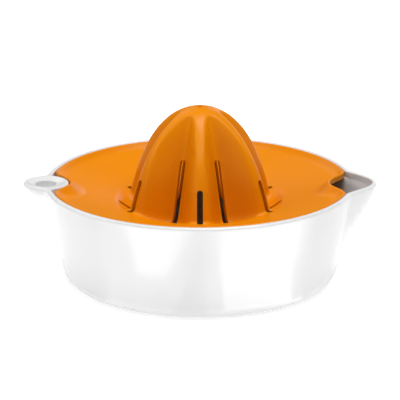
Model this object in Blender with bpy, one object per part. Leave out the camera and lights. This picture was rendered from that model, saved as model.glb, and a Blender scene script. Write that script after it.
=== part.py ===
"""Citrus press juicer: a bowl with a pouring spout and a hanging loop, and a one-piece press,
a ribbed reamer cone in a slotted strainer tray, that lifts straight out of it.

Metres, +Z up. The bowl's axis is the Z axis and the juicer stands on z = 0. The spout points
to +X and the hanging loop to -X. Heights below are measured from the rim, which is level with
the tray's lip, and are negative below it.
"""

import math

import bmesh
import bpy
import numpy as np
from mathutils import Matrix, Vector

MM = 0.001

# Bowl
RIM_HEIGHT = 52.0 * MM  # above the surface that it stands on
RIM_RADIUS = 78.2 * MM  # outside
WALL_TAPER = 0.18  # outward lean at the rim
WALL_BELLY = 0.8  # per metre; the lean grows towards the base
WALL_THICKNESS = 2.8 * MM
RIM_ROUND = 1.3 * MM
RIM_INNER_ROUND = 0.7 * MM
BASE_HEIGHT = -51.4 * MM
BASE_ROUND = 10.0 * MM
BASE_RECESS_RADIUS = 46.0 * MM
BASE_RECESS = 1.0 * MM
FLOOR_HEIGHT = -48.0 * MM
FLOOR_ROUND = 8.0 * MM

# The seat inside the rim that the tray rests on
SEAT_RADIUS = 75.4 * MM
SEAT_HEIGHT = -3.5 * MM
SEAT_INNER_RADIUS = 73.0 * MM
SEAT_FALL = 0.2 * MM  # how much it drops towards the bowl, so that it drains
SEAT_SHOULDER_HEIGHT = -12.5 * MM

# Pouring spout
SPOUT_REACH = 10.6 * MM
SPOUT_DEPTH = 38.0 * MM
SPOUT_HALF_ANGLE = math.radians(16.0)
SPOUT_FULLNESS = 0.75
SPOUT_THICKNESS = 2.4 * MM
SPOUT_SEAT_GAP = math.radians(19.0)  # half-angle over which the seat fades out

# Hanging loop, round a hole that goes straight down beside the wall
LOOP_CENTRE = 77.3 * MM
LOOP_RADIUS = 11.5 * MM
LOOP_DEPTH = 18.0 * MM
LOOP_FADE = 14.5 * MM  # how much its radius shrinks over that depth
LOOP_BLEND = 4.0 * MM
LOOP_HOLE_RADIUS = 5.3 * MM
LOOP_DISH_RADIUS = 9.8 * MM
LOOP_DISH_DEPTH = 1.0 * MM
BOSS_BLEND = 2.5 * MM

# Non-slip ring, in a groove of the base
GROOVE_INNER, GROOVE_OUTER = 50.0 * MM, 56.0 * MM
GROOVE_DEPTH = 1.6 * MM
FIT_GAP = 0.3 * MM

# Tray of the press
LIP_RADIUS = 75.0 * MM
LIP_HEIGHT = 3.2 * MM
LIP_FLANGE = 2.6 * MM
BEAD_INSET = 0.8 * MM
LIP_SLOPE = 0.95
SLOPE_START = (1.35 * MM, -0.22 * MM)  # inset and height
NOTCH_RADIUS = 12.1 * MM
HORN_ROUND = 8.5 * MM
DISH_INNER_RADIUS = 42.0 * MM
DISH_INNER_HEIGHT = -9.1 * MM
DISH_OUTER_RADIUS = 70.0 * MM
DISH_OUTER_HEIGHT = -2.7 * MM
PLATE = 2.0 * MM

# Reamer cone: ridges on a paraboloid, with scooped valleys between them
RIDGES = 6
APEX_HEIGHT = 39.4 * MM
CREST_CURVE = 23.5  # of the square of the radius
CREST_STEEPEN = 3.13e6  # of its sixth power
RIDGE_HALF_WIDTH = 2.3 * MM
RIDGE_SPREAD_HEIGHT = 20.0 * MM  # the ridges widen below it
RIDGE_SPREAD = 0.125
CREST_FOOT = [(38.3, -5.0), (39.2, -8.2), (39.9, -9.1), (40.5, -9.15), (41.2, -9.15), (42.0, -9.1)]
CREST_RADII = [4.0, 8.0, 12.5, 17.0, 22.5, 27.0, 31.0, 34.5, 37.0]
VALLEY = [
    (4.0, 39.0), (7.8, 37.9), (9.4, 37.0), (10.3, 34.8), (12.0, 30.4), (13.9, 24.4), (16.2, 16.0),
    (18.2, 8.8), (20.4, 0.8), (22.6, -7.1), (24.4, -13.0), (27.0, -15.3), (31.0, -15.2), (35.7, -13.6),
    (42.0, -9.1),
]  # (radius, height) in mm, from the top to the dish

# Strainer slots
SLOT_WIDTH = 2.95 * MM
RIDGE_SLOT = (28.0 * MM, 42.0 * MM, 6.0 * MM)  # where the cut starts and ends, and its top
VALLEY_SLOT = (11.0 * MM, 41.0 * MM, 15.7 * MM)
SLOT_BOTTOM = -24.0 * MM
SLOT_ARCH_STEPS = 6
SLOT_END_STEPS = 3


def turned_angles(spacing):
    """Angles round the axis, closer together at the spout and the loop.

    spacing lists (half-angle, step) in degrees for the spout, for the loop and for the rest.
    """
    (spout, spout_step), (loop, loop_step), step = spacing
    parts = [
        np.arange(-spout, spout, spout_step),
        np.linspace(spout, 180 - loop, max(2, round((180 - loop - spout) / step)), endpoint=False),
        np.arange(180 - loop, 180 + loop, loop_step),
        np.linspace(180 + loop, 360 - spout, max(2, round((180 - loop - spout) / step)), endpoint=False),
    ]
    return np.radians(np.concatenate(parts))


def from_front(angle):
    """The angle from +X, between -pi and pi."""
    return np.arctan2(np.sin(angle), np.cos(angle))


def solve_radius(distance, angles):
    """How far out a shape reaches at each angle, where distance(x, y) is negative inside it."""
    near = np.full(len(angles), 30.0 * MM)
    far = np.full(len(angles), 110.0 * MM)
    for _ in range(40):
        middle = (near + far) / 2
        inside = distance(middle * np.cos(angles), middle * np.sin(angles)) < 0
        near = np.where(inside, middle, near)
        far = np.where(inside, far, middle)
    return (near + far) / 2


def smooth_union(a, b, blend):
    overlap = np.maximum(blend - np.abs(a - b), 0) / blend
    return np.minimum(a, b) - overlap**2 * blend / 4


def smooth_cut(a, b, blend):
    return -smooth_union(-a, -b, blend)


def ring(angles, radius, height):
    """Points round the axis, at a height from the rim."""
    radius = np.broadcast_to(radius, angles.shape)
    height = np.broadcast_to(height, angles.shape) + RIM_HEIGHT
    return np.column_stack((radius * np.cos(angles), radius * np.sin(angles), height))


def loft(name, rings, start_height, end_height):
    """A closed body through rings of points, closed at both ends by a point on the axis."""
    bm = bmesh.new()
    rows = [[bm.verts.new(point) for point in points] for points in rings]
    count = len(rows[0])
    for low, high in zip(rows, rows[1:]):
        for i in range(count):
            j = (i + 1) % count
            bm.faces.new((low[i], low[j], high[j], high[i]))
    for row, height in ((rows[0], start_height), (rows[-1], end_height)):
        pole = bm.verts.new((0, 0, RIM_HEIGHT + height))
        for i in range(count):
            bm.faces.new((row[i], row[(i + 1) % count], pole))
    bmesh.ops.recalc_face_normals(bm, faces=bm.faces)
    return finish_mesh(name, bm)


def finish_mesh(name, bm):
    mesh = bpy.data.meshes.new(name)
    bm.to_mesh(mesh)
    bm.free()
    mesh.shade_smooth()
    mesh.set_sharp_from_angle(angle=math.radians(32))
    obj = bpy.data.objects.new(name, mesh)
    bpy.context.collection.objects.link(obj)
    return obj


def cut(target, cutter):
    """Leave the cutter as a hidden guide and subtract it."""
    cutter.hide_render = True
    cutter.display_type = "WIRE"
    modifier = target.modifiers.new(cutter.name, "BOOLEAN")
    modifier.operation = "DIFFERENCE"
    modifier.solver = "EXACT"
    modifier.object = cutter


def material(name, colour, roughness):
    made = bpy.data.materials.new(name)
    made.use_nodes = True
    shader = made.node_tree.nodes["Principled BSDF"]
    shader.inputs["Base Color"].default_value = (*colour, 1)
    shader.inputs["Roughness"].default_value = roughness
    shader.inputs["Metallic"].default_value = 0.0
    return made


# ---------------------------------------------------------------- bowl


def plain_radius(height):
    """Outer radius of the round wall."""
    return RIM_RADIUS + WALL_TAPER * height - WALL_BELLY * height**2


def wall_radius(angle, height):
    """Outer radius of the wall with its spout."""
    down = 0.5 * (1 + math.cos(math.pi * min(-height / SPOUT_DEPTH, 1)))
    turn = np.minimum(np.abs(from_front(angle)) / SPOUT_HALF_ANGLE, 1)
    across = (0.5 * (1 + np.cos(math.pi * turn))) ** SPOUT_FULLNESS
    return plain_radius(height) + SPOUT_REACH * down * across


def wall_distance(x, y, height):
    """Distance outside the wall, measured square to it in plan."""
    angle, radius = np.arctan2(y, x), np.hypot(x, y)
    step = 1e-4
    slope = (wall_radius(angle + step, height) - wall_radius(angle - step, height)) / (2 * step)
    return (radius - wall_radius(angle, height)) / np.hypot(1, slope / radius)


def loop_distance(x, y, radius):
    return np.hypot(x + LOOP_CENTRE, y) - radius


def loop_radius(height):
    """Outer radius of the loop, which narrows to nothing down the wall."""
    down = 0.5 * (1 - math.cos(math.pi * min(-height / LOOP_DEPTH, 1)))
    return LOOP_RADIUS - LOOP_FADE * down


def outside(angles, height, inset=0.0):
    """Radius of the bowl's outside at a height, with the spout and the loop."""

    def distance(x, y):
        wall = wall_distance(x, y, height)
        loop = loop_distance(x, y, loop_radius(height))
        return smooth_union(wall, loop, LOOP_BLEND) + inset

    return solve_radius(distance, angles)


def seat_limit(angles, radius):
    """The seat's radius, which runs out towards the spout."""
    turn = np.minimum(np.abs(from_front(angles)) / SPOUT_SEAT_GAP, 1)
    return radius + 16 * MM * (0.5 * (1 + np.cos(math.pi * turn)))


def wall_thickness(angle, height):
    """Upright inside above the seat, even below it, and its own thickness at the spout."""
    plain = WALL_THICKNESS
    if height >= SEAT_HEIGHT:
        plain += plain_radius(height) - RIM_RADIUS
    turn = np.minimum(np.abs(from_front(angle)) / SPOUT_HALF_ANGLE, 1)
    return plain + (SPOUT_THICKNESS - plain) * 0.5 * (1 + np.cos(math.pi * turn))


def inside(angles, height, seat, outset=0.0):
    """Radius of the bowl's inside at a height; seat is the most that its round part may be."""

    def distance(x, y):
        angle, radius = np.arctan2(y, x), np.hypot(x, y)
        wall = wall_distance(x, y, height) + wall_thickness(angle, height)
        wall = np.maximum(wall, radius - seat_limit(angle, seat))
        boss = loop_distance(x, y, LOOP_RADIUS)
        return smooth_cut(wall, -boss, BOSS_BLEND) - outset

    return solve_radius(distance, angles)


def base_rings(angles):
    """The underside: a recess, the groove of the non-slip ring, and the rounded edge."""
    rings = [
        ring(angles, BASE_RECESS_RADIUS, BASE_HEIGHT + BASE_RECESS),
        ring(angles, BASE_RECESS_RADIUS + BASE_RECESS, BASE_HEIGHT),
        ring(angles, GROOVE_INNER, BASE_HEIGHT),
        ring(angles, GROOVE_INNER, BASE_HEIGHT + GROOVE_DEPTH),
        ring(angles, GROOVE_OUTER, BASE_HEIGHT + GROOVE_DEPTH),
        ring(angles, GROOVE_OUTER, BASE_HEIGHT),
    ]
    lean = math.atan(WALL_TAPER - 2 * WALL_BELLY * (BASE_HEIGHT + BASE_ROUND))
    centre_height = BASE_HEIGHT + BASE_ROUND
    tangent_height = centre_height - BASE_ROUND * math.sin(lean)
    centre_radius = wall_radius(math.pi, tangent_height) - BASE_ROUND * math.cos(lean)
    for share in (0, 0.25, 0.5, 0.75, 1):
        turn = share * (math.pi / 2 - lean)
        radius = centre_radius + BASE_ROUND * math.sin(turn)
        rings.append(ring(angles, radius, centre_height - BASE_ROUND * math.cos(turn)))
    return rings


def inside_rings(angles):
    """The inside, from the rim down past the seat to the floor."""
    drop = RIM_INNER_ROUND
    rings = []
    for share in (0, 0.5, 1):
        turn = share * math.pi / 2
        outset = drop * (1 - math.sin(turn))
        radius = inside(angles, -drop, SEAT_RADIUS, outset)
        rings.append(ring(angles, radius, -drop * (1 - math.cos(turn))))
    rings.append(ring(angles, inside(angles, SEAT_HEIGHT, SEAT_RADIUS), SEAT_HEIGHT))
    for height in (SEAT_HEIGHT - SEAT_FALL, -8 * MM, SEAT_SHOULDER_HEIGHT, -21 * MM, -31 * MM):
        rings.append(ring(angles, inside(angles, height, SEAT_INNER_RADIUS), height))
    centre_height = FLOOR_HEIGHT + FLOOR_ROUND
    edge = inside(angles, centre_height, SEAT_INNER_RADIUS)
    for share in (0, 0.5, 1):
        turn = share * math.pi / 2
        radius = edge - FLOOR_ROUND * (1 - math.cos(turn))
        rings.append(ring(angles, radius, centre_height - FLOOR_ROUND * math.sin(turn)))
    return rings


def loop_cutter():
    """The dished top of the loop and the hole down through it, as one turned cutter."""
    sides = 40
    angles = np.linspace(0, 2 * math.pi, sides, endpoint=False)
    profile = [(LOOP_HOLE_RADIUS, BASE_HEIGHT - 2 * MM), (LOOP_HOLE_RADIUS, -LOOP_DISH_DEPTH)]
    for share in (0.25, 0.5, 0.75, 1):
        radius = LOOP_HOLE_RADIUS + (LOOP_DISH_RADIUS - LOOP_HOLE_RADIUS) * share
        profile.append((radius, -LOOP_DISH_DEPTH * math.cos(share * math.pi / 2)))
    profile.append((LOOP_DISH_RADIUS + 0.2 * MM, 2 * MM))
    rings = [ring(angles, radius, height) for radius, height in profile]
    cutter = loft("loop_cutter", rings, profile[0][1], profile[-1][1])
    cutter.location.x = -LOOP_CENTRE
    return cutter


def make_bowl():
    angles = turned_angles(((24, 2.4), (13, 1.0), 6.0))
    rings = base_rings(angles)
    for height in (-38, -29, -21, -16, -12.5, -9.5, -7, -5, -3, -1.3):
        rings.append(ring(angles, outside(angles, height * MM), height * MM))
    for share in (0.5, 1):
        turn = share * math.pi / 2
        inset = RIM_ROUND * (1 - math.cos(turn))
        rings.append(ring(angles, outside(angles, -RIM_ROUND, inset), -RIM_ROUND * (1 - math.sin(turn))))
    rings += inside_rings(angles)
    bowl = loft("bowl", rings, BASE_HEIGHT + BASE_RECESS, FLOOR_HEIGHT)
    cut(bowl, loop_cutter())
    return bowl


def make_non_slip_ring():
    """A flat ring with eased lower edges, standing a little proud of the base."""
    sides = 48
    top = BASE_HEIGHT + GROOVE_DEPTH - FIT_GAP
    bottom, edge = -RIM_HEIGHT, 0.4 * MM
    inner, outer = GROOVE_INNER + FIT_GAP, GROOVE_OUTER - FIT_GAP
    profile = [
        (inner, top), (inner, bottom + edge), (inner + edge, bottom),
        (outer - edge, bottom), (outer, bottom + edge), (outer, top),
    ]
    angles = np.linspace(0, 2 * math.pi, sides, endpoint=False)
    bm = bmesh.new()
    rows = [[bm.verts.new(point) for point in ring(angles, *corner)] for corner in profile]
    for low, high in zip(rows, rows[1:] + rows[:1]):
        for i in range(sides):
            j = (i + 1) % sides
            bm.faces.new((low[i], low[j], high[j], high[i]))
    bmesh.ops.recalc_face_normals(bm, faces=bm.faces)
    return finish_mesh("non_slip_ring", bm)


# ---------------------------------------------------------------- press


def lip_inset(x, y):
    """How far inside the tray's outline a point lies; the outline is notched at both ends."""
    from_lip = LIP_RADIUS - np.hypot(x, y)
    from_notch = np.hypot(np.abs(x) - LOOP_CENTRE, y) - NOTCH_RADIUS
    corner = HORN_ROUND - np.hypot(HORN_ROUND - from_lip, HORN_ROUND - from_notch)
    near_corner = (from_lip < HORN_ROUND) & (from_notch < HORN_ROUND)
    return np.where(near_corner, corner, np.minimum(from_lip, from_notch))


def lip_radius(angles, inset):
    return solve_radius(lambda x, y: inset - lip_inset(x, y), angles)


def tray_height(radius, inset):
    """Top of the tray: a shallow dish that turns up into the lip."""
    slope = (DISH_OUTER_HEIGHT - DISH_INNER_HEIGHT) / (DISH_OUTER_RADIUS - DISH_INNER_RADIUS)
    dish = DISH_INNER_HEIGHT + slope * (radius - DISH_INNER_RADIUS)
    lip = SLOPE_START[1] - LIP_SLOPE * (inset - SLOPE_START[0])
    return np.maximum(dish, lip)


def crest_profile():
    """(radius, height) down a ridge, in metres."""
    radii = np.array(CREST_RADII) * MM
    heights = APEX_HEIGHT - CREST_CURVE * radii**2 - CREST_STEEPEN * radii**6
    return np.vstack((np.column_stack((radii, heights)), np.array(CREST_FOOT) * MM))


def valley_profile():
    return np.array(VALLEY) * MM


def thinned(profile, thickness):
    """The profile moved square to itself, to the inside."""
    run = np.gradient(profile, axis=0)
    run /= np.hypot(run[:, 0], run[:, 1])[:, None]
    return profile + thickness * np.column_stack((run[:, 1], -run[:, 0]))


def ridge_half_width(height):
    """Half the flat top of a ridge, which widens towards the foot of the cone."""
    return RIDGE_HALF_WIDTH + RIDGE_SPREAD * max(RIDGE_SPREAD_HEIGHT - height, 0)


def cone_rings(angles, crest, valley, narrowing):
    """Rings that pass from ridge to valley; narrowing comes off each side of a ridge's flat top."""
    pitch = 2 * math.pi / RIDGES
    turn = np.abs((angles - math.pi / 2 + pitch / 2) % pitch - pitch / 2)
    rings = []
    for (crest_radius, crest_height), (valley_radius, valley_height) in zip(crest, valley):
        half_width = ridge_half_width(crest_height) - narrowing
        flat = min(half_width / crest_radius, 0.6 * pitch / 2)
        across = np.clip((turn - flat) / (pitch / 2 - flat), 0, 1)
        low = 1 - (1 - across) ** 2
        radius = crest_radius + (valley_radius - crest_radius) * low
        rings.append(ring(angles, radius, crest_height + (valley_height - crest_height) * low))
    return rings


def tray_rings(angles):
    """From the scoops out over the dish, round the lip and back under it."""
    edge = 9.2 * MM
    rings = []
    for share in (0.5, 1):
        radius = DISH_INNER_RADIUS + (lip_radius(angles, edge) - DISH_INNER_RADIUS) * share
        x, y = radius * np.cos(angles), radius * np.sin(angles)
        rings.append(ring(angles, radius, tray_height(radius, lip_inset(x, y))))
    for inset in (6.0 * MM, 3.8 * MM, SLOPE_START[0]):
        radius = lip_radius(angles, inset)
        rings.append(ring(angles, radius, tray_height(radius, inset)))
    for inset, height in ((BEAD_INSET, 0), (0.25 * MM, -0.25 * MM), (0, -0.8 * MM), (0.1 * MM, -LIP_HEIGHT)):
        rings.append(ring(angles, lip_radius(angles, inset), height))
    rings.append(ring(angles, lip_radius(angles, LIP_FLANGE), -LIP_HEIGHT))
    for inset in (5.0 * MM, edge):
        radius = lip_radius(angles, inset)
        rings.append(ring(angles, radius, tray_height(radius, inset) - PLATE))
    return rings


def slot_bar(bm, turn, start, end, top):
    """A bar along a radius, with an arched top and a rounded outer end, added to bm."""
    half = SLOT_WIDTH / 2
    arch = np.linspace(0, math.pi, SLOT_ARCH_STEPS + 1)
    outline = [(half * math.cos(t), top + half * (math.sin(t) - 1)) for t in arch]
    outline += [(-half, SLOT_BOTTOM), (half, SLOT_BOTTOM)]
    stations = [(start, 1.0)]
    for t in np.linspace(0, math.radians(75), SLOT_END_STEPS + 1):
        stations.append((end + half * (math.sin(t) - 1), math.cos(t)))
    rows = []
    for along, width in stations:
        points = [turn @ Vector((along, across * width, RIM_HEIGHT + up)) for across, up in outline]
        rows.append([bm.verts.new(point) for point in points])
    for near, far in zip(rows, rows[1:]):
        for i in range(len(outline)):
            bm.faces.new((near[i - 1], near[i], far[i], far[i - 1]))
    bm.faces.new(rows[0])
    bm.faces.new(rows[-1])


def slot_cutter():
    bm = bmesh.new()
    for i in range(2 * RIDGES):
        turn = Matrix.Rotation(math.pi * i / RIDGES, 3, "Z")
        slot_bar(bm, turn, *(RIDGE_SLOT if i % 2 else VALLEY_SLOT))
    bmesh.ops.recalc_face_normals(bm, faces=bm.faces)
    return finish_mesh("slot_cutter", bm)


def make_press():
    angles = turned_angles(((15, 2.5), (15, 2.5), 5.0))
    crest, valley = crest_profile(), valley_profile()
    rings = cone_rings(angles, crest, valley, 0)
    rings += tray_rings(angles)
    under = cone_rings(angles, thinned(crest, PLATE), thinned(valley, PLATE), 0.7 * PLATE)
    rings += under[:0:-2]
    press = loft("press", rings, APEX_HEIGHT, APEX_HEIGHT - PLATE)
    cut(press, slot_cutter())
    return press


def main():
    for obj in list(bpy.data.objects):
        bpy.data.objects.remove(obj)
    bowl = make_bowl()
    bowl.data.materials.append(material("white_gloss_plastic", (0.9, 0.9, 0.89), 0.12))
    non_slip_ring = make_non_slip_ring()
    non_slip_ring.data.materials.append(material("soft_grey_rubber", (0.55, 0.56, 0.57), 0.7))
    non_slip_ring.parent = bowl
    press = make_press()
    press.data.materials.append(material("orange_plastic", (0.95, 0.38, 0.02), 0.28))
    press.parent = bowl


main()
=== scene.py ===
"""The looks of the citrus press juicer: fine meshes for its three mouldings, their materials, and
a bright plain studio. Metres, +Z up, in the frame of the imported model. Heights inside the mesh
functions are measured from the rim and are negative below it.
"""

import math

import bmesh
import bpy
import numpy as np
from mathutils import Matrix, Vector


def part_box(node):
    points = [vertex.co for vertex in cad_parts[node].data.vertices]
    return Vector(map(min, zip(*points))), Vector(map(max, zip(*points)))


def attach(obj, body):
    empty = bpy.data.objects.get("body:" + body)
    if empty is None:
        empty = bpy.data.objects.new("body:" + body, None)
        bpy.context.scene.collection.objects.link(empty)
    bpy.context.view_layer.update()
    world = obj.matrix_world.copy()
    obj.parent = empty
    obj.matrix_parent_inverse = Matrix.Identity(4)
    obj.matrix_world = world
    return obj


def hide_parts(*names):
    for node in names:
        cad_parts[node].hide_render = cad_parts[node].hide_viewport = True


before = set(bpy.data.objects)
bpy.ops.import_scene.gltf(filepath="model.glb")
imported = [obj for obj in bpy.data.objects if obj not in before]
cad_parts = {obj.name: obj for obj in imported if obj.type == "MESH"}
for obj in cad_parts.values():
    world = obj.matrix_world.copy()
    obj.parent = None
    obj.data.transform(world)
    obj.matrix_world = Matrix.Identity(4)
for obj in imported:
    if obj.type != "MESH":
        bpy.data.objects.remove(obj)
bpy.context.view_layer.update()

MM = 0.001

# The frame: the bowl stands on z = 0 and its axis is the Z axis
BOWL_LOW, BOWL_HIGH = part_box("bowl")
PRESS_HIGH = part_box("press")[1]
RIM_HEIGHT = BOWL_HIGH.z
APEX_HEIGHT = PRESS_HIGH.z - RIM_HEIGHT

# Bowl: its wall's radius is RIM_RADIUS + WALL_TAPER * height - WALL_BELLY * height**2
RIM_RADIUS = 78.2 * MM
WALL_TAPER = 0.18
WALL_BELLY = 0.8
WALL_THICKNESS = 2.8 * MM
RIM_ROUND = 1.3 * MM
RIM_INNER_ROUND = 0.7 * MM
RIM_LEDGE_HEIGHT = -2.2 * MM
BASE_HEIGHT = BOWL_LOW.z - RIM_HEIGHT
BASE_ROUND = 10.0 * MM
BASE_RECESS_RADIUS = 46.0 * MM
BASE_RECESS = 1.0 * MM
BASE_RECESS_RUN = 1.5  # how far the recess's edge runs outwards, for each unit that it falls
FLOOR_HEIGHT = -48.0 * MM
FLOOR_ROUND = 8.0 * MM
SEAT_RADIUS = 75.4 * MM
SEAT_HEIGHT = -3.5 * MM
SEAT_FALL = 0.2 * MM
SEAT_INNER_RADIUS = 73.0 * MM
SEAT_SHOULDER_HEIGHT = -12.5 * MM
SEAT_BETWEEN_HEIGHTS = (-5 * MM, -7 * MM, -9 * MM, -11 * MM)

# Pouring spout
SPOUT_REACH = 10.6 * MM
SPOUT_DEPTH = 38.0 * MM
SPOUT_HALF_ANGLE = math.radians(16.0)
SPOUT_FULLNESS = 0.75
SPOUT_THICKNESS = 2.4 * MM
SPOUT_SEAT_GAP = math.radians(19.0)
SPOUT_SEAT_CUT = 16.0 * MM  # how far out the seat is cleared in the middle of the gap

# Hanging loop
LOOP_CENTRE = 77.3 * MM
LOOP_RADIUS = 11.5 * MM
LOOP_DEPTH = 18.0 * MM
LOOP_FADE = 14.5 * MM
LOOP_BLEND = 4.0 * MM
LOOP_HOLE_RADIUS = 5.3 * MM
LOOP_CROWN_RADIUS = 10.2 * MM
LOOP_DISH_DEPTH = 1.1 * MM
LOOP_EDGE_ROUND = 0.4 * MM
LOOP_EDGE_TURN = math.radians(70)
LOOP_EDGE_LIFT = 0.1 * MM
BOSS_BLEND = 2.5 * MM
BOSS_ROUND = 0.5 * MM  # added to the rim's inner rounding where the loop stands inside the rim
BOSS_ANGLE = math.radians(9)
BOSS_FADE = 1.6  # the added rounding ends this many boss angles away from the loop's middle

# Non-slip ring in the base
GROOVE_INNER, GROOVE_OUTER = 50.0 * MM, 56.0 * MM
GROOVE_DEPTH = 1.6 * MM
FIT_GAP = 0.3 * MM
GRIP_EDGE_ROUND = 0.4 * MM
GRIP_LINES = 3
GRIP_LINE_DEPTH = 0.2 * MM

# Tray of the press
LIP_RADIUS = 75.0 * MM
LIP_HEIGHT = 3.2 * MM
LIP_FLANGE = 2.6 * MM
BEAD_RADIUS = 0.8 * MM
LIP_LEAN = math.radians(43.5)
LIP_BLEND = 1.4 * MM
NOTCH_RADIUS = 12.1 * MM
HORN_ROUND = 8.5 * MM
DISH_INNER_RADIUS = 42.0 * MM
DISH_INNER_HEIGHT = -9.1 * MM
DISH_OUTER_RADIUS = 70.0 * MM
DISH_OUTER_HEIGHT = -2.7 * MM
DISH_EDGE = 11.0 * MM  # the dish ends this far inside the tray's outline
PLATE = 2.0 * MM
# The underside of the tray: (inset, height) under the lip, then insets, then shares of the dish
UNDER_LIP = [(0.1 * MM, 0.3 * MM - LIP_HEIGHT), (0.4 * MM, -LIP_HEIGHT), (LIP_FLANGE, -LIP_HEIGHT)]
UNDER_INSETS = (3.6 * MM, 5.0 * MM, 7.0 * MM, DISH_EDGE)
UNDER_DISH_SHARES = (0.66, 0.33)

# Reamer cone. CREST_RADII is in mm, and CREST_FOOT and VALLEY are (radius, height) in mm. Above its
# foot a ridge lies CREST_CURVE * radius**2 + CREST_STEEPEN * radius**6 below the apex, in metres.
RIDGES = 6
CREST_CURVE = 23.5
CREST_STEEPEN = 3.13e6
CREST_FOOT = [(38.3, -5.0), (39.2, -8.2), (39.9, -9.1), (40.5, -9.15), (41.2, -9.15), (42.0, -9.1)]
CREST_RADII = [4.0, 8.0, 12.5, 17.0, 22.5, 27.0, 31.0, 34.5, 37.0]
VALLEY = [
    (4.0, 39.0), (7.8, 37.9), (9.4, 37.0), (10.3, 34.8), (12.0, 30.4), (13.9, 24.4), (16.2, 16.0),
    (18.2, 8.8), (20.4, 0.8), (22.6, -7.1), (24.4, -13.0), (27.0, -15.3), (31.0, -15.2), (35.7, -13.6),
    (42.0, -9.1),
]
RIDGE_HALF_WIDTH = 2.2 * MM
RIDGE_SPREAD_HEIGHT = 20.0 * MM
RIDGE_SPREAD = 0.125
RIDGE_EDGE_ROUND = 0.5 * MM
RIDGE_EDGE_SOFTEN = 0.07  # added to the rounding, per unit of height below the spread's start
RIDGE_UNDER_NARROWING = 0.7 * PLATE
GATE_MARK_RADIUS, GATE_MARK_DEPTH = 1.0 * MM, 1.5 * MM
GATE_MARK_CLEAR = 1.5  # the plain tip starts this many gate mark radii out
# Steps of the gate mark, as (share of its radius, share of its depth)
GATE_MARK = [(0.5, 1.0), (0.75, 0.97), (0.9, 0.8), (0.97, 0.3), (1.02, 0.08), (1.1, 0.0)]

# Strainer slots: (start and end along the radius, height of the top)
SLOT_WIDTH = 2.95 * MM
RIDGE_SLOT = (28.0 * MM, 42.0 * MM, 6.0 * MM)
VALLEY_SLOT = (11.0 * MM, 41.0 * MM, 15.7 * MM)
SLOT_BOTTOM = -24.0 * MM
SLOT_END_TURN = math.radians(82)

# Mesh density; the spans round the axis are (start, end, step) in degrees, the same on both sides
BOWL_SPANS = ((0, 24, 0.6), (24, 166, 1.6), (166, 180, 0.25))
PRESS_SPANS = ((0, 16, 0.4), (16, 164, 0.7), (164, 180, 0.4))
SEARCH_NEAR, SEARCH_FAR = 30.0 * MM, 110.0 * MM
SEARCH_STEPS = 40
RECESS_STEPS, BASE_ARC_STEPS = 4, 14
WALL_SPLIT_HEIGHT = -20 * MM
LOWER_WALL_STEPS, UPPER_WALL_STEPS = 13, 25
RIM_ARC_STEPS, RIM_TOP_STEPS, RIM_INNER_ARC_STEPS = 7, 26, 6
INSIDE_WALL_STEPS, FLOOR_ARC_STEPS = 12, 9
FLOOR_SHARES = (0.75, 0.5, 0.25)
LOOP_HOLE_SIDES, GRIP_SIDES = 96, 180
EASE_STEPS = 4
PROFILE_STEPS, APEX_STEPS = 6, 5
DISH_STEPS, LIP_RISE_STEPS, BEAD_STEPS = 11, 21, 8
UNDER_STRIDE = 3  # the cone's underside keeps every third ring
SLOT_ARCH_STEPS, SLOT_END_STEPS = 14, 8
SHARP_ANGLE = math.radians(30)


# ---------------------------------------------------------------- camera

VIEW_ELEVATION = math.radians(17.44)
VIEW_DISTANCE = 3.388
VIEW_LENS = 608.0
VIEW_SENSOR = 36.0
VIEW_FAR = 100.0
TARGET_DROP = 9.2 * MM  # how far the camera aims below the rim's centre, along its own up direction


def make_camera():
    up = Vector((0, math.sin(VIEW_ELEVATION), math.cos(VIEW_ELEVATION)))
    back = Vector((0, -math.cos(VIEW_ELEVATION), math.sin(VIEW_ELEVATION)))
    target = Vector((0, 0, RIM_HEIGHT)) - up * TARGET_DROP
    data = bpy.data.cameras.new("camera")
    data.lens = VIEW_LENS
    data.sensor_width = VIEW_SENSOR
    data.clip_end = VIEW_FAR
    camera = bpy.data.objects.new("camera", data)
    camera.matrix_world = Matrix.Translation(target + back * VIEW_DISTANCE) @ (
        back.to_track_quat("Z", "Y").to_matrix().to_4x4()
    )
    bpy.context.collection.objects.link(camera)
    bpy.context.scene.camera = camera


# ---------------------------------------------------------------- mesh tools


def turned_angles(spans):
    """Angles round the axis from (start, end, step) spans in degrees, mirrored below the X axis."""
    half = []
    for start, end, step in spans:
        half.append(np.linspace(start, end, max(1, round((end - start) / step)), endpoint=False))
    half = np.concatenate(half)
    return np.radians(np.concatenate((half, [180.0], 360 - half[:0:-1])))


def from_spout(angle):
    """An angle round the axis, brought between half a turn either side of the spout."""
    return np.arctan2(np.sin(angle), np.cos(angle))


def solve_radius(distance, angles):
    """How far out a shape reaches at each angle, where distance(x, y) is negative inside it."""
    near = np.full(len(angles), SEARCH_NEAR)
    far = np.full(len(angles), SEARCH_FAR)
    for _ in range(SEARCH_STEPS):
        middle = (near + far) / 2
        within = distance(middle * np.cos(angles), middle * np.sin(angles)) < 0
        near = np.where(within, middle, near)
        far = np.where(within, far, middle)
    return (near + far) / 2


def smooth_union(a, b, blend):
    overlap = np.maximum(blend - np.abs(a - b), 0) / blend
    return np.minimum(a, b) - overlap**2 * blend / 4


def smooth_cut(a, b, blend):
    return -smooth_union(-a, -b, blend)


def smooth_step(x):
    x = np.clip(x, 0, 1)
    return x * x * (3 - 2 * x)


def ring(angles, radius, height):
    radius = np.broadcast_to(radius, angles.shape)
    height = np.broadcast_to(height, angles.shape) + RIM_HEIGHT
    return np.column_stack((radius * np.cos(angles), radius * np.sin(angles), height))


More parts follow.
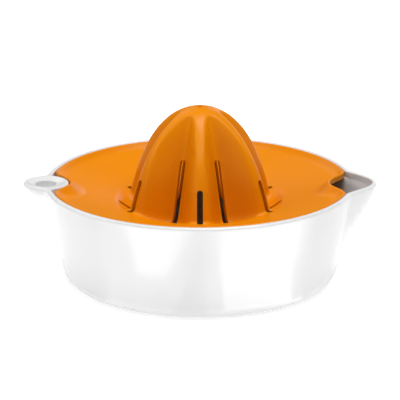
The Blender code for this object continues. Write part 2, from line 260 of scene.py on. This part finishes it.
def loft(name, rings, start_height, end_height):
    """A closed body through rings of points, closed at both ends by a point on the axis."""
    count, rows = len(rings[0]), len(rings)
    poles = [(0, 0, RIM_HEIGHT + start_height), (0, 0, RIM_HEIGHT + end_height)]
    points = np.concatenate(rings + [np.array(poles)])
    around = np.arange(count)
    after = (around + 1) % count
    faces = []
    for row in range(rows - 1):
        low, high = row * count, (row + 1) * count
        faces += np.column_stack((low + around, low + after, high + after, high + around)).tolist()
    start, end, last = rows * count, rows * count + 1, (rows - 1) * count
    faces += [(int(j), int(i), start) for i, j in zip(around, after)]
    faces += [(int(last + i), int(last + j), end) for i, j in zip(around, after)]
    mesh = bpy.data.meshes.new(name)
    mesh.from_pydata(points.tolist(), [], faces)
    return finish_mesh(name, mesh)


def finish_mesh(name, mesh):
    bm = bmesh.new()
    bm.from_mesh(mesh)
    bmesh.ops.recalc_face_normals(bm, faces=bm.faces)
    bm.to_mesh(mesh)
    bm.free()
    obj = bpy.data.objects.new(name, mesh)
    bpy.context.collection.objects.link(obj)
    smooth(obj)
    return obj


def smooth(obj):
    obj.data.shade_smooth()
    obj.data.set_sharp_from_angle(angle=SHARP_ANGLE)


def subtract(target, cutter):
    """Cut the cutter out of target for good, and remove it."""
    modifier = target.modifiers.new("cut", "BOOLEAN")
    modifier.operation = "DIFFERENCE"
    modifier.solver = "EXACT"
    modifier.object = cutter
    graph = bpy.context.evaluated_depsgraph_get()
    made = bpy.data.meshes.new_from_object(target.evaluated_get(graph), depsgraph=graph)
    target.modifiers.clear()
    old = target.data
    target.data = made
    bpy.data.meshes.remove(old)
    bpy.data.objects.remove(cutter)
    smooth(target)


# ---------------------------------------------------------------- bowl


def plain_radius(height):
    return RIM_RADIUS + WALL_TAPER * height - WALL_BELLY * height**2


def wall_radius(angle, height):
    """Outer radius of the wall with its spout."""
    down = 0.5 * (1 + math.cos(math.pi * min(-height / SPOUT_DEPTH, 1)))
    turn = np.minimum(np.abs(from_spout(angle)) / SPOUT_HALF_ANGLE, 1)
    across = (0.5 * (1 + np.cos(math.pi * turn))) ** SPOUT_FULLNESS
    return plain_radius(height) + SPOUT_REACH * down * across


def wall_distance(x, y, height):
    angle, radius = np.arctan2(y, x), np.hypot(x, y)
    step = 1e-4
    slope = (wall_radius(angle + step, height) - wall_radius(angle - step, height)) / (2 * step)
    return (radius - wall_radius(angle, height)) / np.hypot(1, slope / radius)


def loop_distance(x, y, radius):
    return np.hypot(x + LOOP_CENTRE, y) - radius


def loop_radius(height):
    down = 0.5 * (1 - math.cos(math.pi * min(-height / LOOP_DEPTH, 1)))
    return LOOP_RADIUS - LOOP_FADE * down


def outside(angles, height, inset=0.0):
    def distance(x, y):
        wall = wall_distance(x, y, height)
        loop = loop_distance(x, y, loop_radius(height))
        return smooth_union(wall, loop, LOOP_BLEND) + inset

    return solve_radius(distance, angles)


def wall_thickness(angle, height):
    """Upright inside above the seat, even below it, and its own thickness at the spout."""
    above = smooth_step((height - SEAT_HEIGHT) / MM + 1)
    plain = WALL_THICKNESS + above * (plain_radius(height) - RIM_RADIUS)
    turn = np.minimum(np.abs(from_spout(angle)) / SPOUT_HALF_ANGLE, 1)
    return plain + (SPOUT_THICKNESS - plain) * 0.5 * (1 + np.cos(math.pi * turn))


def inside(angles, height, seat, outset=0.0):
    """Radius of the bowl's inside at a height; seat is the most that its round part may be."""

    def distance(x, y):
        angle, radius = np.arctan2(y, x), np.hypot(x, y)
        wall = wall_distance(x, y, height) + wall_thickness(angle, height)
        turn = np.minimum(np.abs(from_spout(angle)) / SPOUT_SEAT_GAP, 1)
        limit = seat + SPOUT_SEAT_CUT * (0.5 * (1 + np.cos(math.pi * turn)))
        boss = loop_distance(x, y, LOOP_RADIUS)
        return smooth_cut(np.maximum(wall, radius - limit), -boss, BOSS_BLEND) - outset

    return solve_radius(distance, angles)


def base_rings(angles):
    """The underside: a recess, the groove of the non-slip ring, and the rounded edge."""
    rings = []
    for share in np.linspace(0, 1, RECESS_STEPS + 1):
        height = BASE_HEIGHT + BASE_RECESS * (1 - smooth_step(share))
        radius = BASE_RECESS_RADIUS + BASE_RECESS_RUN * BASE_RECESS * share
        rings.append(ring(angles, radius, height))
    for radius, rise in ((GROOVE_INNER, 0), (GROOVE_INNER, 1), (GROOVE_OUTER, 1), (GROOVE_OUTER, 0)):
        rings.append(ring(angles, radius, BASE_HEIGHT + GROOVE_DEPTH * rise))
    lean = math.atan(WALL_TAPER - 2 * WALL_BELLY * (BASE_HEIGHT + BASE_ROUND))
    centre_height = BASE_HEIGHT + BASE_ROUND
    tangent_height = centre_height - BASE_ROUND * math.sin(lean)
    centre_radius = wall_radius(math.pi, tangent_height) - BASE_ROUND * math.cos(lean)
    for share in np.linspace(0, 1, BASE_ARC_STEPS + 1):
        turn = share * (math.pi / 2 - lean)
        radius = centre_radius + BASE_ROUND * math.sin(turn)
        rings.append(ring(angles, radius, centre_height - BASE_ROUND * math.cos(turn)))
    return rings, tangent_height


def loop_height(angles, radius):
    """The dish in the top of the loop, below the rim's level."""
    away = np.hypot(radius * np.cos(angles) + LOOP_CENTRE, radius * np.sin(angles))
    share = (LOOP_CROWN_RADIUS - away) / (LOOP_CROWN_RADIUS - LOOP_HOLE_RADIUS)
    return -LOOP_DISH_DEPTH * smooth_step(share)


def rim_rings(angles):
    """Over the rim: outer rounding, the top with the loop's dish, and inner rounding."""
    rings = []
    for turn in np.linspace(0, math.pi / 2, RIM_ARC_STEPS + 1):
        inset = RIM_ROUND * (1 - math.cos(turn))
        radius = outside(angles, -RIM_ROUND, inset)
        rings.append(ring(angles, radius, -RIM_ROUND * (1 - math.sin(turn))))
    near_loop = smooth_step(BOSS_FADE - np.abs(from_spout(angles - math.pi)) / BOSS_ANGLE)
    rounding = RIM_INNER_ROUND + BOSS_ROUND * near_loop
    outer = outside(angles, -RIM_ROUND, RIM_ROUND)
    inner = inside(angles, -RIM_INNER_ROUND, SEAT_RADIUS, rounding)
    for share in np.linspace(0, 1, RIM_TOP_STEPS + 1)[1:-1]:
        radius = outer + (inner - outer) * share
        rings.append(ring(angles, radius, loop_height(angles, radius)))
    for turn in np.linspace(0, math.pi / 2, RIM_INNER_ARC_STEPS + 1):
        outset = rounding * (1 - math.sin(turn))
        radius = inside(angles, -RIM_INNER_ROUND, SEAT_RADIUS, outset)
        rings.append(ring(angles, radius, -rounding * (1 - math.cos(turn))))
    return rings


def inside_rings(angles):
    """Down the inside: the rim's upright face, the seat, the wall, the rounding and the floor."""
    rings = []
    for height in (RIM_LEDGE_HEIGHT, SEAT_HEIGHT):
        rings.append(ring(angles, inside(angles, height, SEAT_RADIUS), height))
    for height in (SEAT_HEIGHT - SEAT_FALL, *SEAT_BETWEEN_HEIGHTS, SEAT_SHOULDER_HEIGHT):
        rings.append(ring(angles, inside(angles, height, SEAT_INNER_RADIUS), height))
    centre_height = FLOOR_HEIGHT + FLOOR_ROUND
    for height in np.linspace(SEAT_SHOULDER_HEIGHT, centre_height, INSIDE_WALL_STEPS + 1)[1:]:
        edge = inside(angles, height, SEAT_INNER_RADIUS)
        rings.append(ring(angles, edge, height))
    for turn in np.linspace(0, math.pi / 2, FLOOR_ARC_STEPS + 1)[1:]:
        radius = edge - FLOOR_ROUND * (1 - math.cos(turn))
        rings.append(ring(angles, radius, centre_height - FLOOR_ROUND * math.sin(turn)))
    rings += [ring(angles, share * radius, FLOOR_HEIGHT) for share in FLOOR_SHARES]
    return rings


def loop_cutter():
    """The hole of the loop, with its upper edge eased."""
    angles = np.linspace(0, 2 * math.pi, LOOP_HOLE_SIDES, endpoint=False)
    top = -LOOP_DISH_DEPTH + LOOP_EDGE_LIFT
    profile = [(LOOP_HOLE_RADIUS, BASE_HEIGHT - 2 * MM), (LOOP_HOLE_RADIUS, top - LOOP_EDGE_ROUND)]
    for turn in np.linspace(0, LOOP_EDGE_TURN, EASE_STEPS + 1)[1:]:
        radius = LOOP_HOLE_RADIUS + LOOP_EDGE_ROUND * (1 - math.cos(turn))
        profile.append((radius, top - LOOP_EDGE_ROUND * (1 - math.sin(turn))))
    profile.append((profile[-1][0] + 1.0 * MM, 2 * MM))
    rings = [ring(angles, radius, height) for radius, height in profile]
    cutter = loft("loop_cutter", rings, profile[0][1], profile[-1][1])
    cutter.data.transform(Matrix.Translation((-LOOP_CENTRE, 0, 0)))
    return cutter


def make_bowl():
    angles = turned_angles(BOWL_SPANS)
    rings, wall_start = base_rings(angles)
    for height in np.linspace(wall_start, WALL_SPLIT_HEIGHT, LOWER_WALL_STEPS + 1)[1:]:
        rings.append(ring(angles, outside(angles, height), height))
    for height in np.linspace(WALL_SPLIT_HEIGHT, -RIM_ROUND, UPPER_WALL_STEPS + 1)[1:-1]:
        rings.append(ring(angles, outside(angles, height), height))
    rings += rim_rings(angles) + inside_rings(angles)
    bowl = loft("juicer_bowl", rings, BASE_HEIGHT + BASE_RECESS, FLOOR_HEIGHT)
    subtract(bowl, loop_cutter())
    return bowl


def grip_profile():
    """Section of the non-slip ring: eased edges and fine concentric grooves under it."""
    top = BASE_HEIGHT + GROOVE_DEPTH - FIT_GAP
    inner, outer = GROOVE_INNER + FIT_GAP, GROOVE_OUTER - FIT_GAP
    bottom, edge, groove = -RIM_HEIGHT, GRIP_EDGE_ROUND, GRIP_LINE_DEPTH
    profile = [(inner, top), (inner, bottom + edge)]
    for turn in np.linspace(0, math.pi / 2, EASE_STEPS + 1)[1:]:
        profile.append((inner + edge * (1 - math.cos(turn)), bottom + edge * (1 - math.sin(turn))))
    for i in range(GRIP_LINES):
        at = inner + (outer - inner) * (i + 1) / (GRIP_LINES + 1)
        profile += [(at - groove, bottom), (at, bottom + groove), (at + groove, bottom)]
    for turn in np.linspace(math.pi / 2, 0, EASE_STEPS + 1):
        profile.append((outer - edge * (1 - math.cos(turn)), bottom + edge * (1 - math.sin(turn))))
    profile.append((outer, top))
    return profile


def make_grip_ring():
    angles = np.linspace(0, 2 * math.pi, GRIP_SIDES, endpoint=False)
    rings = [ring(angles, radius, height) for radius, height in grip_profile()]
    count, rows = len(angles), len(rings)
    faces = []
    for row in range(rows):
        low, high = row * count, (row + 1) % rows * count
        for i in range(count):
            j = (i + 1) % count
            faces.append((low + i, low + j, high + j, high + i))
    mesh = bpy.data.meshes.new("juicer_grip_ring")
    mesh.from_pydata(np.concatenate(rings).tolist(), [], faces)
    return finish_mesh("juicer_grip_ring", mesh)


# ---------------------------------------------------------------- press


def lip_inset(x, y):
    """How far inside the tray's outline a point lies; the outline is notched at both ends."""
    from_lip = LIP_RADIUS - np.hypot(x, y)
    from_notch = np.hypot(np.abs(x) - LOOP_CENTRE, y) - NOTCH_RADIUS
    corner = HORN_ROUND - np.hypot(HORN_ROUND - from_lip, HORN_ROUND - from_notch)
    near_corner = (from_lip < HORN_ROUND) & (from_notch < HORN_ROUND)
    return np.where(near_corner, corner, np.minimum(from_lip, from_notch))


def lip_radius(angles, inset):
    return solve_radius(lambda x, y: inset - lip_inset(x, y), angles)


def tray_height(radius, inset):
    """Top of the tray: a shallow dish that turns up softly into the lip."""
    slope = (DISH_OUTER_HEIGHT - DISH_INNER_HEIGHT) / (DISH_OUTER_RADIUS - DISH_INNER_RADIUS)
    dish = DISH_INNER_HEIGHT + slope * (radius - DISH_INNER_RADIUS)
    start = BEAD_RADIUS * (1 + math.sin(LIP_LEAN))
    lip = BEAD_RADIUS * (math.cos(LIP_LEAN) - 1) - math.tan(LIP_LEAN) * (inset - start)
    return smooth_cut(dish, lip, LIP_BLEND)


def spline(points, steps):
    """A smooth curve through points, steps per stretch."""
    padded = np.vstack((2 * points[0] - points[1], points, 2 * points[-1] - points[-2]))
    curve = []
    for i in range(1, len(padded) - 2):
        before, start, end, beyond = padded[i - 1 : i + 3]
        for t in np.arange(steps) / steps:
            bend = (2 * before - 5 * start + 4 * end - beyond) * t**2
            bend += (3 * start - before - 3 * end + beyond) * t**3
            curve.append(0.5 * (2 * start + (end - before) * t + bend))
    curve.append(points[-1])
    return np.array(curve)


def crest_profile():
    radii = np.array(CREST_RADII) * MM
    heights = APEX_HEIGHT - CREST_CURVE * radii**2 - CREST_STEEPEN * radii**6
    points = np.vstack((np.column_stack((radii, heights)), np.array(CREST_FOOT) * MM))
    return spline(points, PROFILE_STEPS)


def valley_profile():
    return spline(np.array(VALLEY) * MM, PROFILE_STEPS)


def thinned(profile, thickness):
    """The profile moved inwards, square to itself."""
    run = np.gradient(profile, axis=0)
    run /= np.hypot(run[:, 0], run[:, 1])[:, None]
    return profile + thickness * np.column_stack((run[:, 1], -run[:, 0]))


def cone_rings(angles, crest, valley, narrowing):
    """Rings that pass from ridge to valley; narrowing comes off each side of a ridge's flat top."""
    half_pitch = math.pi / RIDGES
    turn = np.abs((angles - math.pi / 2 + half_pitch) % (2 * half_pitch) - half_pitch)
    rings = []
    for (crest_radius, crest_height), (valley_radius, valley_height) in zip(crest, valley):
        below = max(RIDGE_SPREAD_HEIGHT - crest_height, 0)
        rounding = RIDGE_EDGE_ROUND + RIDGE_EDGE_SOFTEN * below
        flat = min(RIDGE_HALF_WIDTH + RIDGE_SPREAD * below - narrowing, 0.5 * half_pitch * crest_radius)
        run = half_pitch * crest_radius - flat
        soft = rounding / run
        across = (turn * crest_radius - flat) / run
        across = 0.5 * (across + np.hypot(across, soft))
        across /= 0.5 * (1 + math.hypot(1, soft))
        low = 1 - (1 - across) ** 2
        radius = crest_radius + (valley_radius - crest_radius) * low
        rings.append(ring(angles, radius, crest_height + (valley_height - crest_height) * low))
    return rings


def apex_rings(angles, first_radius):
    """The tip of the cone with its small sunk gate mark."""
    rings = []
    for share, depth in GATE_MARK:
        radius = GATE_MARK_RADIUS * share
        height = APEX_HEIGHT - CREST_CURVE * radius**2 - GATE_MARK_DEPTH * depth
        rings.append(ring(angles, radius, height))
    for radius in np.linspace(GATE_MARK_RADIUS * GATE_MARK_CLEAR, first_radius, APEX_STEPS + 1)[:-1]:
        rings.append(ring(angles, radius, APEX_HEIGHT - CREST_CURVE * radius**2))
    return rings


def dish_ring(angles, share, drop):
    """A ring of the dish, a share of the way from the cone's foot to the dish's edge."""
    radius = DISH_INNER_RADIUS + (lip_radius(angles, DISH_EDGE) - DISH_INNER_RADIUS) * share
    inset = lip_inset(radius * np.cos(angles), radius * np.sin(angles))
    return ring(angles, radius, tray_height(radius, inset) - drop)


def lip_ring(angles, inset, drop):
    """A ring of the dish's outer part and the lip, at an inset from the tray's outline."""
    radius = lip_radius(angles, inset)
    return ring(angles, radius, tray_height(radius, inset) - drop)


def tray_rings(angles):
    """From the cone's foot out over the dish, round the lip and back under it."""
    rings = [dish_ring(angles, share, 0) for share in np.linspace(0, 1, DISH_STEPS + 1)[1:]]
    bead_start = BEAD_RADIUS * (1 + math.sin(LIP_LEAN))
    for inset in np.linspace(DISH_EDGE, bead_start, LIP_RISE_STEPS + 1)[1:-1]:
        rings.append(lip_ring(angles, inset, 0))
    for turn in np.linspace(math.pi / 2 - LIP_LEAN, math.pi, BEAD_STEPS + 1):
        radius = lip_radius(angles, BEAD_RADIUS * (1 + math.cos(turn)))
        rings.append(ring(angles, radius, BEAD_RADIUS * (math.sin(turn) - 1)))
    rings += [ring(angles, lip_radius(angles, inset), height) for inset, height in UNDER_LIP]
    rings += [lip_ring(angles, inset, PLATE) for inset in UNDER_INSETS]
    rings += [dish_ring(angles, share, PLATE) for share in UNDER_DISH_SHARES]
    return rings


def slot_bar(bm, turn, start, end, top):
    """A bar along a radius, with an arched top and a rounded outer end, added to bm."""
    half = SLOT_WIDTH / 2
    arch = np.linspace(0, math.pi, SLOT_ARCH_STEPS + 1)
    outline = [(half * math.cos(t), top + half * (math.sin(t) - 1)) for t in arch]
    outline += [(-half, SLOT_BOTTOM), (half, SLOT_BOTTOM)]
    stations = [(start, 1.0)]
    for t in np.linspace(0, SLOT_END_TURN, SLOT_END_STEPS + 1):
        stations.append((end + half * (math.sin(t) - 1), math.cos(t)))
    rows = []
    for along, width in stations:
        points = [turn @ Vector((along, across * width, RIM_HEIGHT + up)) for across, up in outline]
        rows.append([bm.verts.new(point) for point in points])
    for near, far in zip(rows, rows[1:]):
        for i in range(len(outline)):
            bm.faces.new((near[i - 1], near[i], far[i], far[i - 1]))
    bm.faces.new(rows[0])
    bm.faces.new(rows[-1])


def slot_cutter():
    """All the slots: odd ones through the ridges, even ones through the valleys."""
    bm = bmesh.new()
    for i in range(2 * RIDGES):
        turn = Matrix.Rotation(math.pi * i / RIDGES, 3, "Z")
        slot_bar(bm, turn, *(RIDGE_SLOT if i % 2 else VALLEY_SLOT))
    mesh = bpy.data.meshes.new("slot_cutter")
    bm.to_mesh(mesh)
    bm.free()
    return finish_mesh("slot_cutter", mesh)


def make_press():
    angles = turned_angles(PRESS_SPANS)
    crest, valley = crest_profile(), valley_profile()
    rings = apex_rings(angles, crest[0][0])
    rings += cone_rings(angles, crest, valley, 0)
    rings += tray_rings(angles)
    under = cone_rings(angles, thinned(crest, PLATE), thinned(valley, PLATE), RIDGE_UNDER_NARROWING)
    rings += under[::-UNDER_STRIDE]
    press = loft("juicer_press", rings, APEX_HEIGHT - GATE_MARK_DEPTH, APEX_HEIGHT - PLATE)
    subtract(press, slot_cutter())
    return press


# ---------------------------------------------------------------- materials

FLOW_SCALE = 35.0
GLOSS_SCALE = 90.0


def node(tree, kind, **values):
    """A node with values for its inputs or, where it has no such input, for its settings."""
    made = tree.nodes.new(kind)
    for name, value in values.items():
        if name in made.inputs:
            made.inputs[name].default_value = value
        else:
            setattr(made, name.lower(), value)
    return made


def plastic(name, colour, colour_spread, roughness, roughness_spread, grain, grain_depth):
    """Moulded plastic: faint flow variation in its colour and gloss, and a fine surface grain.

    grain is the grain's frequency per metre and grain_depth its height in metres.
    """
    made = bpy.data.materials.new(name)
    made.use_nodes = True
    tree = made.node_tree
    link = tree.links.new
    shader = tree.nodes["Principled BSDF"]
    place = tree.nodes.new("ShaderNodeTexCoord").outputs["Object"]

    flow = node(tree, "ShaderNodeTexNoise", Scale=FLOW_SCALE, Detail=3.0, Roughness=0.5)
    link(place, flow.inputs["Vector"])
    shades = tree.nodes.new("ShaderNodeValToRGB")
    shades.color_ramp.elements[0].position = 0.3
    shades.color_ramp.elements[1].position = 0.7
    shades.color_ramp.elements[0].color = (*[c * (1 - colour_spread) for c in colour], 1)
    shades.color_ramp.elements[1].color = (*[min(c * (1 + colour_spread), 1) for c in colour], 1)
    link(flow.outputs["Fac"], shades.inputs["Fac"])
    link(shades.outputs["Color"], shader.inputs["Base Color"])

    gloss = node(tree, "ShaderNodeTexNoise", Scale=GLOSS_SCALE, Detail=4.0, Roughness=0.6)
    link(place, gloss.inputs["Vector"])
    level = tree.nodes.new("ShaderNodeMapRange")
    level.inputs["To Min"].default_value = roughness - roughness_spread
    level.inputs["To Max"].default_value = roughness + roughness_spread
    link(gloss.outputs["Fac"], level.inputs["Value"])
    link(level.outputs["Result"], shader.inputs["Roughness"])

    fine = node(tree, "ShaderNodeTexNoise", Scale=grain, Detail=2.0, Roughness=0.5)
    link(place, fine.inputs["Vector"])
    bump = node(tree, "ShaderNodeBump", Strength=1.0, Distance=grain_depth)
    link(fine.outputs["Fac"], bump.inputs["Height"])
    link(bump.outputs["Normal"], shader.inputs["Normal"])
    return made, shader


def white_plastic():
    made, shader = plastic(
        "white_gloss_plastic",
        colour=(0.73, 0.73, 0.73),
        colour_spread=0.008,
        roughness=0.22,
        roughness_spread=0.02,
        grain=700.0,
        grain_depth=4e-6,
    )
    shader.inputs["IOR"].default_value = 1.5
    return made


def orange_plastic():
    made, shader = plastic(
        "orange_plastic",
        colour=(0.74, 0.232, 0.0),
        colour_spread=0.015,
        roughness=0.3,
        roughness_spread=0.03,
        grain=2500.0,
        grain_depth=6e-6,
    )
    shader.inputs["Specular IOR Level"].default_value = 0.16
    return made


def grey_rubber():
    made, shader = plastic(
        "soft_grey_rubber",
        colour=(0.5, 0.51, 0.52),
        colour_spread=0.04,
        roughness=0.7,
        roughness_spread=0.08,
        grain=4000.0,
        grain_depth=2e-5,
    )
    shader.inputs["Specular IOR Level"].default_value = 0.3
    return made


# ---------------------------------------------------------------- studio

FLOOR_SIZE = 8.0
FLOOR_GREY = 0.93
FLOOR_GLOW = 0.42
WORLD_GLOW = 0.08
SHEET_ROUGHNESS = 0.9
SHEET_SPECULAR = 0.1
LIGHT_TARGET = Vector((0, 0, 0.04))
LIGHT_DISTANCE = 2.0
# Name, azimuth and elevation in degrees, width and height in metres, radiance. Azimuth 0 is the
# front, and it grows to the right.
SOFTBOXES = [
    ("top", 0, 89.9, (0.8, 0.8), 5.2),
    ("top_right_back", 135, 75, (0.8, 0.7), 5.7),
    ("top_right_front", 45, 75, (0.8, 0.7), 1.8),
    ("top_left_back", -135, 75, (0.8, 0.7), 3.2),
    ("right", 60, 55, (1.2, 0.7), 3.3),
    ("front", 0, 55, (1.2, 0.7), 3.1),
    ("left", -90, 35, (1.3, 0.7), 2.5),
    ("front_low", -35, 18, (1.6, 0.75), 0.6),
    ("left_back", -150, 32, (1.3, 0.7), 0.8),
    ("right_back_low", 150, 14, (1.6, 0.75), 1.0),
]
REFLECTOR_HEIGHT = 2.0 * MM
REFLECTOR_STEPS = 10
# Name, corners as (degrees from the front, radius in mm), layer above the floor, glow
REFLECTORS = [
    ("reflector_wide", [(-40, 67), (50, 67), (50, 210), (-40, 210)], 0, 1.2),
    ("reflector_left_edge", [(-44, 67), (-12, 67), (1, 130), (1, 200), (-64, 200), (-60, 120)], 1, 2.3),
    ("reflector_left", [(-32, 92), (-17, 92), (-5, 140), (-4, 200), (-50, 200), (-46, 140)], 2, 5.4),
    ("reflector_right_edge", [(3, 67), (50, 67), (70, 120), (78, 210), (0, 210)], 1, 2.4),
    ("reflector_right", [(11, 67.5), (42, 67.5), (62, 120), (69, 200), (8, 200)], 2, 5.2),
]


def softbox(name, azimuth, elevation, size, radiance):
    """A soft rectangular light aimed at the object."""
    turn, rise = math.radians(azimuth), math.radians(elevation)
    out = Vector((math.sin(turn) * math.cos(rise), -math.cos(turn) * math.cos(rise), math.sin(rise)))
    data = bpy.data.lights.new(name, "AREA")
    data.shape = "RECTANGLE"
    data.size, data.size_y = size
    data.energy = math.pi * size[0] * size[1] * radiance
    light = bpy.data.objects.new(name, data)
    light.matrix_world = Matrix.Translation(LIGHT_TARGET + LIGHT_DISTANCE * out) @ (
        out.to_track_quat("Z", "Y").to_matrix().to_4x4()
    )
    light.visible_camera = False
    bpy.context.collection.objects.link(light)


def flat_sheet(name, outline, height, grey, glow):
    """A flat sheet of the studio, with its outline in metres."""
    mesh = bpy.data.meshes.new(name)
    mesh.from_pydata([(x, y, height) for x, y in outline], [], [tuple(range(len(outline)))])
    sheet = bpy.data.objects.new(name, mesh)
    bpy.context.collection.objects.link(sheet)
    made = bpy.data.materials.new(name)
    made.use_nodes = True
    shader = made.node_tree.nodes["Principled BSDF"]
    shader.inputs["Base Color"].default_value = (grey, grey, grey, 1)
    shader.inputs["Roughness"].default_value = SHEET_ROUGHNESS
    shader.inputs["Specular IOR Level"].default_value = SHEET_SPECULAR
    shader.inputs["Emission Color"].default_value = (1, 1, 1, 1)
    shader.inputs["Emission Strength"].default_value = glow
    mesh.materials.append(made)
    return sheet


def reflector(name, corners, layer, glow):
    """A bright sheet just above the floor that only reflections see, with arcs between its corners."""
    outline = []
    for i, (angle, radius) in enumerate(corners):
        before_angle, before_radius = corners[i - 1]
        for share in np.linspace(0, 1, REFLECTOR_STEPS + 1)[1:]:
            turn = math.radians(before_angle + (angle - before_angle) * share)
            out = (before_radius + (radius - before_radius) * share) * MM
            outline.append((out * math.sin(turn), -out * math.cos(turn)))
    sheet = flat_sheet(name, outline, REFLECTOR_HEIGHT * (1 + layer), 0.0, glow)
    sheet.visible_camera = False
    sheet.visible_diffuse = False
    sheet.visible_shadow = False
    sheet.visible_transmission = False


def make_studio():
    half = FLOOR_SIZE / 2
    corners = [(-half, -half), (half, -half), (half, half), (-half, half)]
    flat_sheet("studio_floor", corners, 0.0, FLOOR_GREY, FLOOR_GLOW)
    world = bpy.data.worlds.new("studio")
    world.use_nodes = True
    background = world.node_tree.nodes["Background"]
    background.inputs["Color"].default_value = (1, 1, 1, 1)
    background.inputs["Strength"].default_value = WORLD_GLOW
    bpy.context.scene.world = world
    bpy.context.scene.view_settings.view_transform = "Standard"
    for name, azimuth, elevation, size, radiance in SOFTBOXES:
        softbox(name, azimuth, elevation, size, radiance)
    for name, outline, layer, glow in REFLECTORS:
        reflector(name, outline, layer, glow)


# ---------------------------------------------------------------- assembly


def add(piece, material, body, cad_node):
    piece.data.materials.clear()
    piece.data.materials.append(material)
    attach(piece, body)
    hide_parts(cad_node)


make_camera()
add(make_bowl(), white_plastic(), "bowl_body", "bowl")
add(make_grip_ring(), grey_rubber(), "bowl_body", "non_slip_ring")
add(make_press(), orange_plastic(), "press_body", "press")
make_studio()
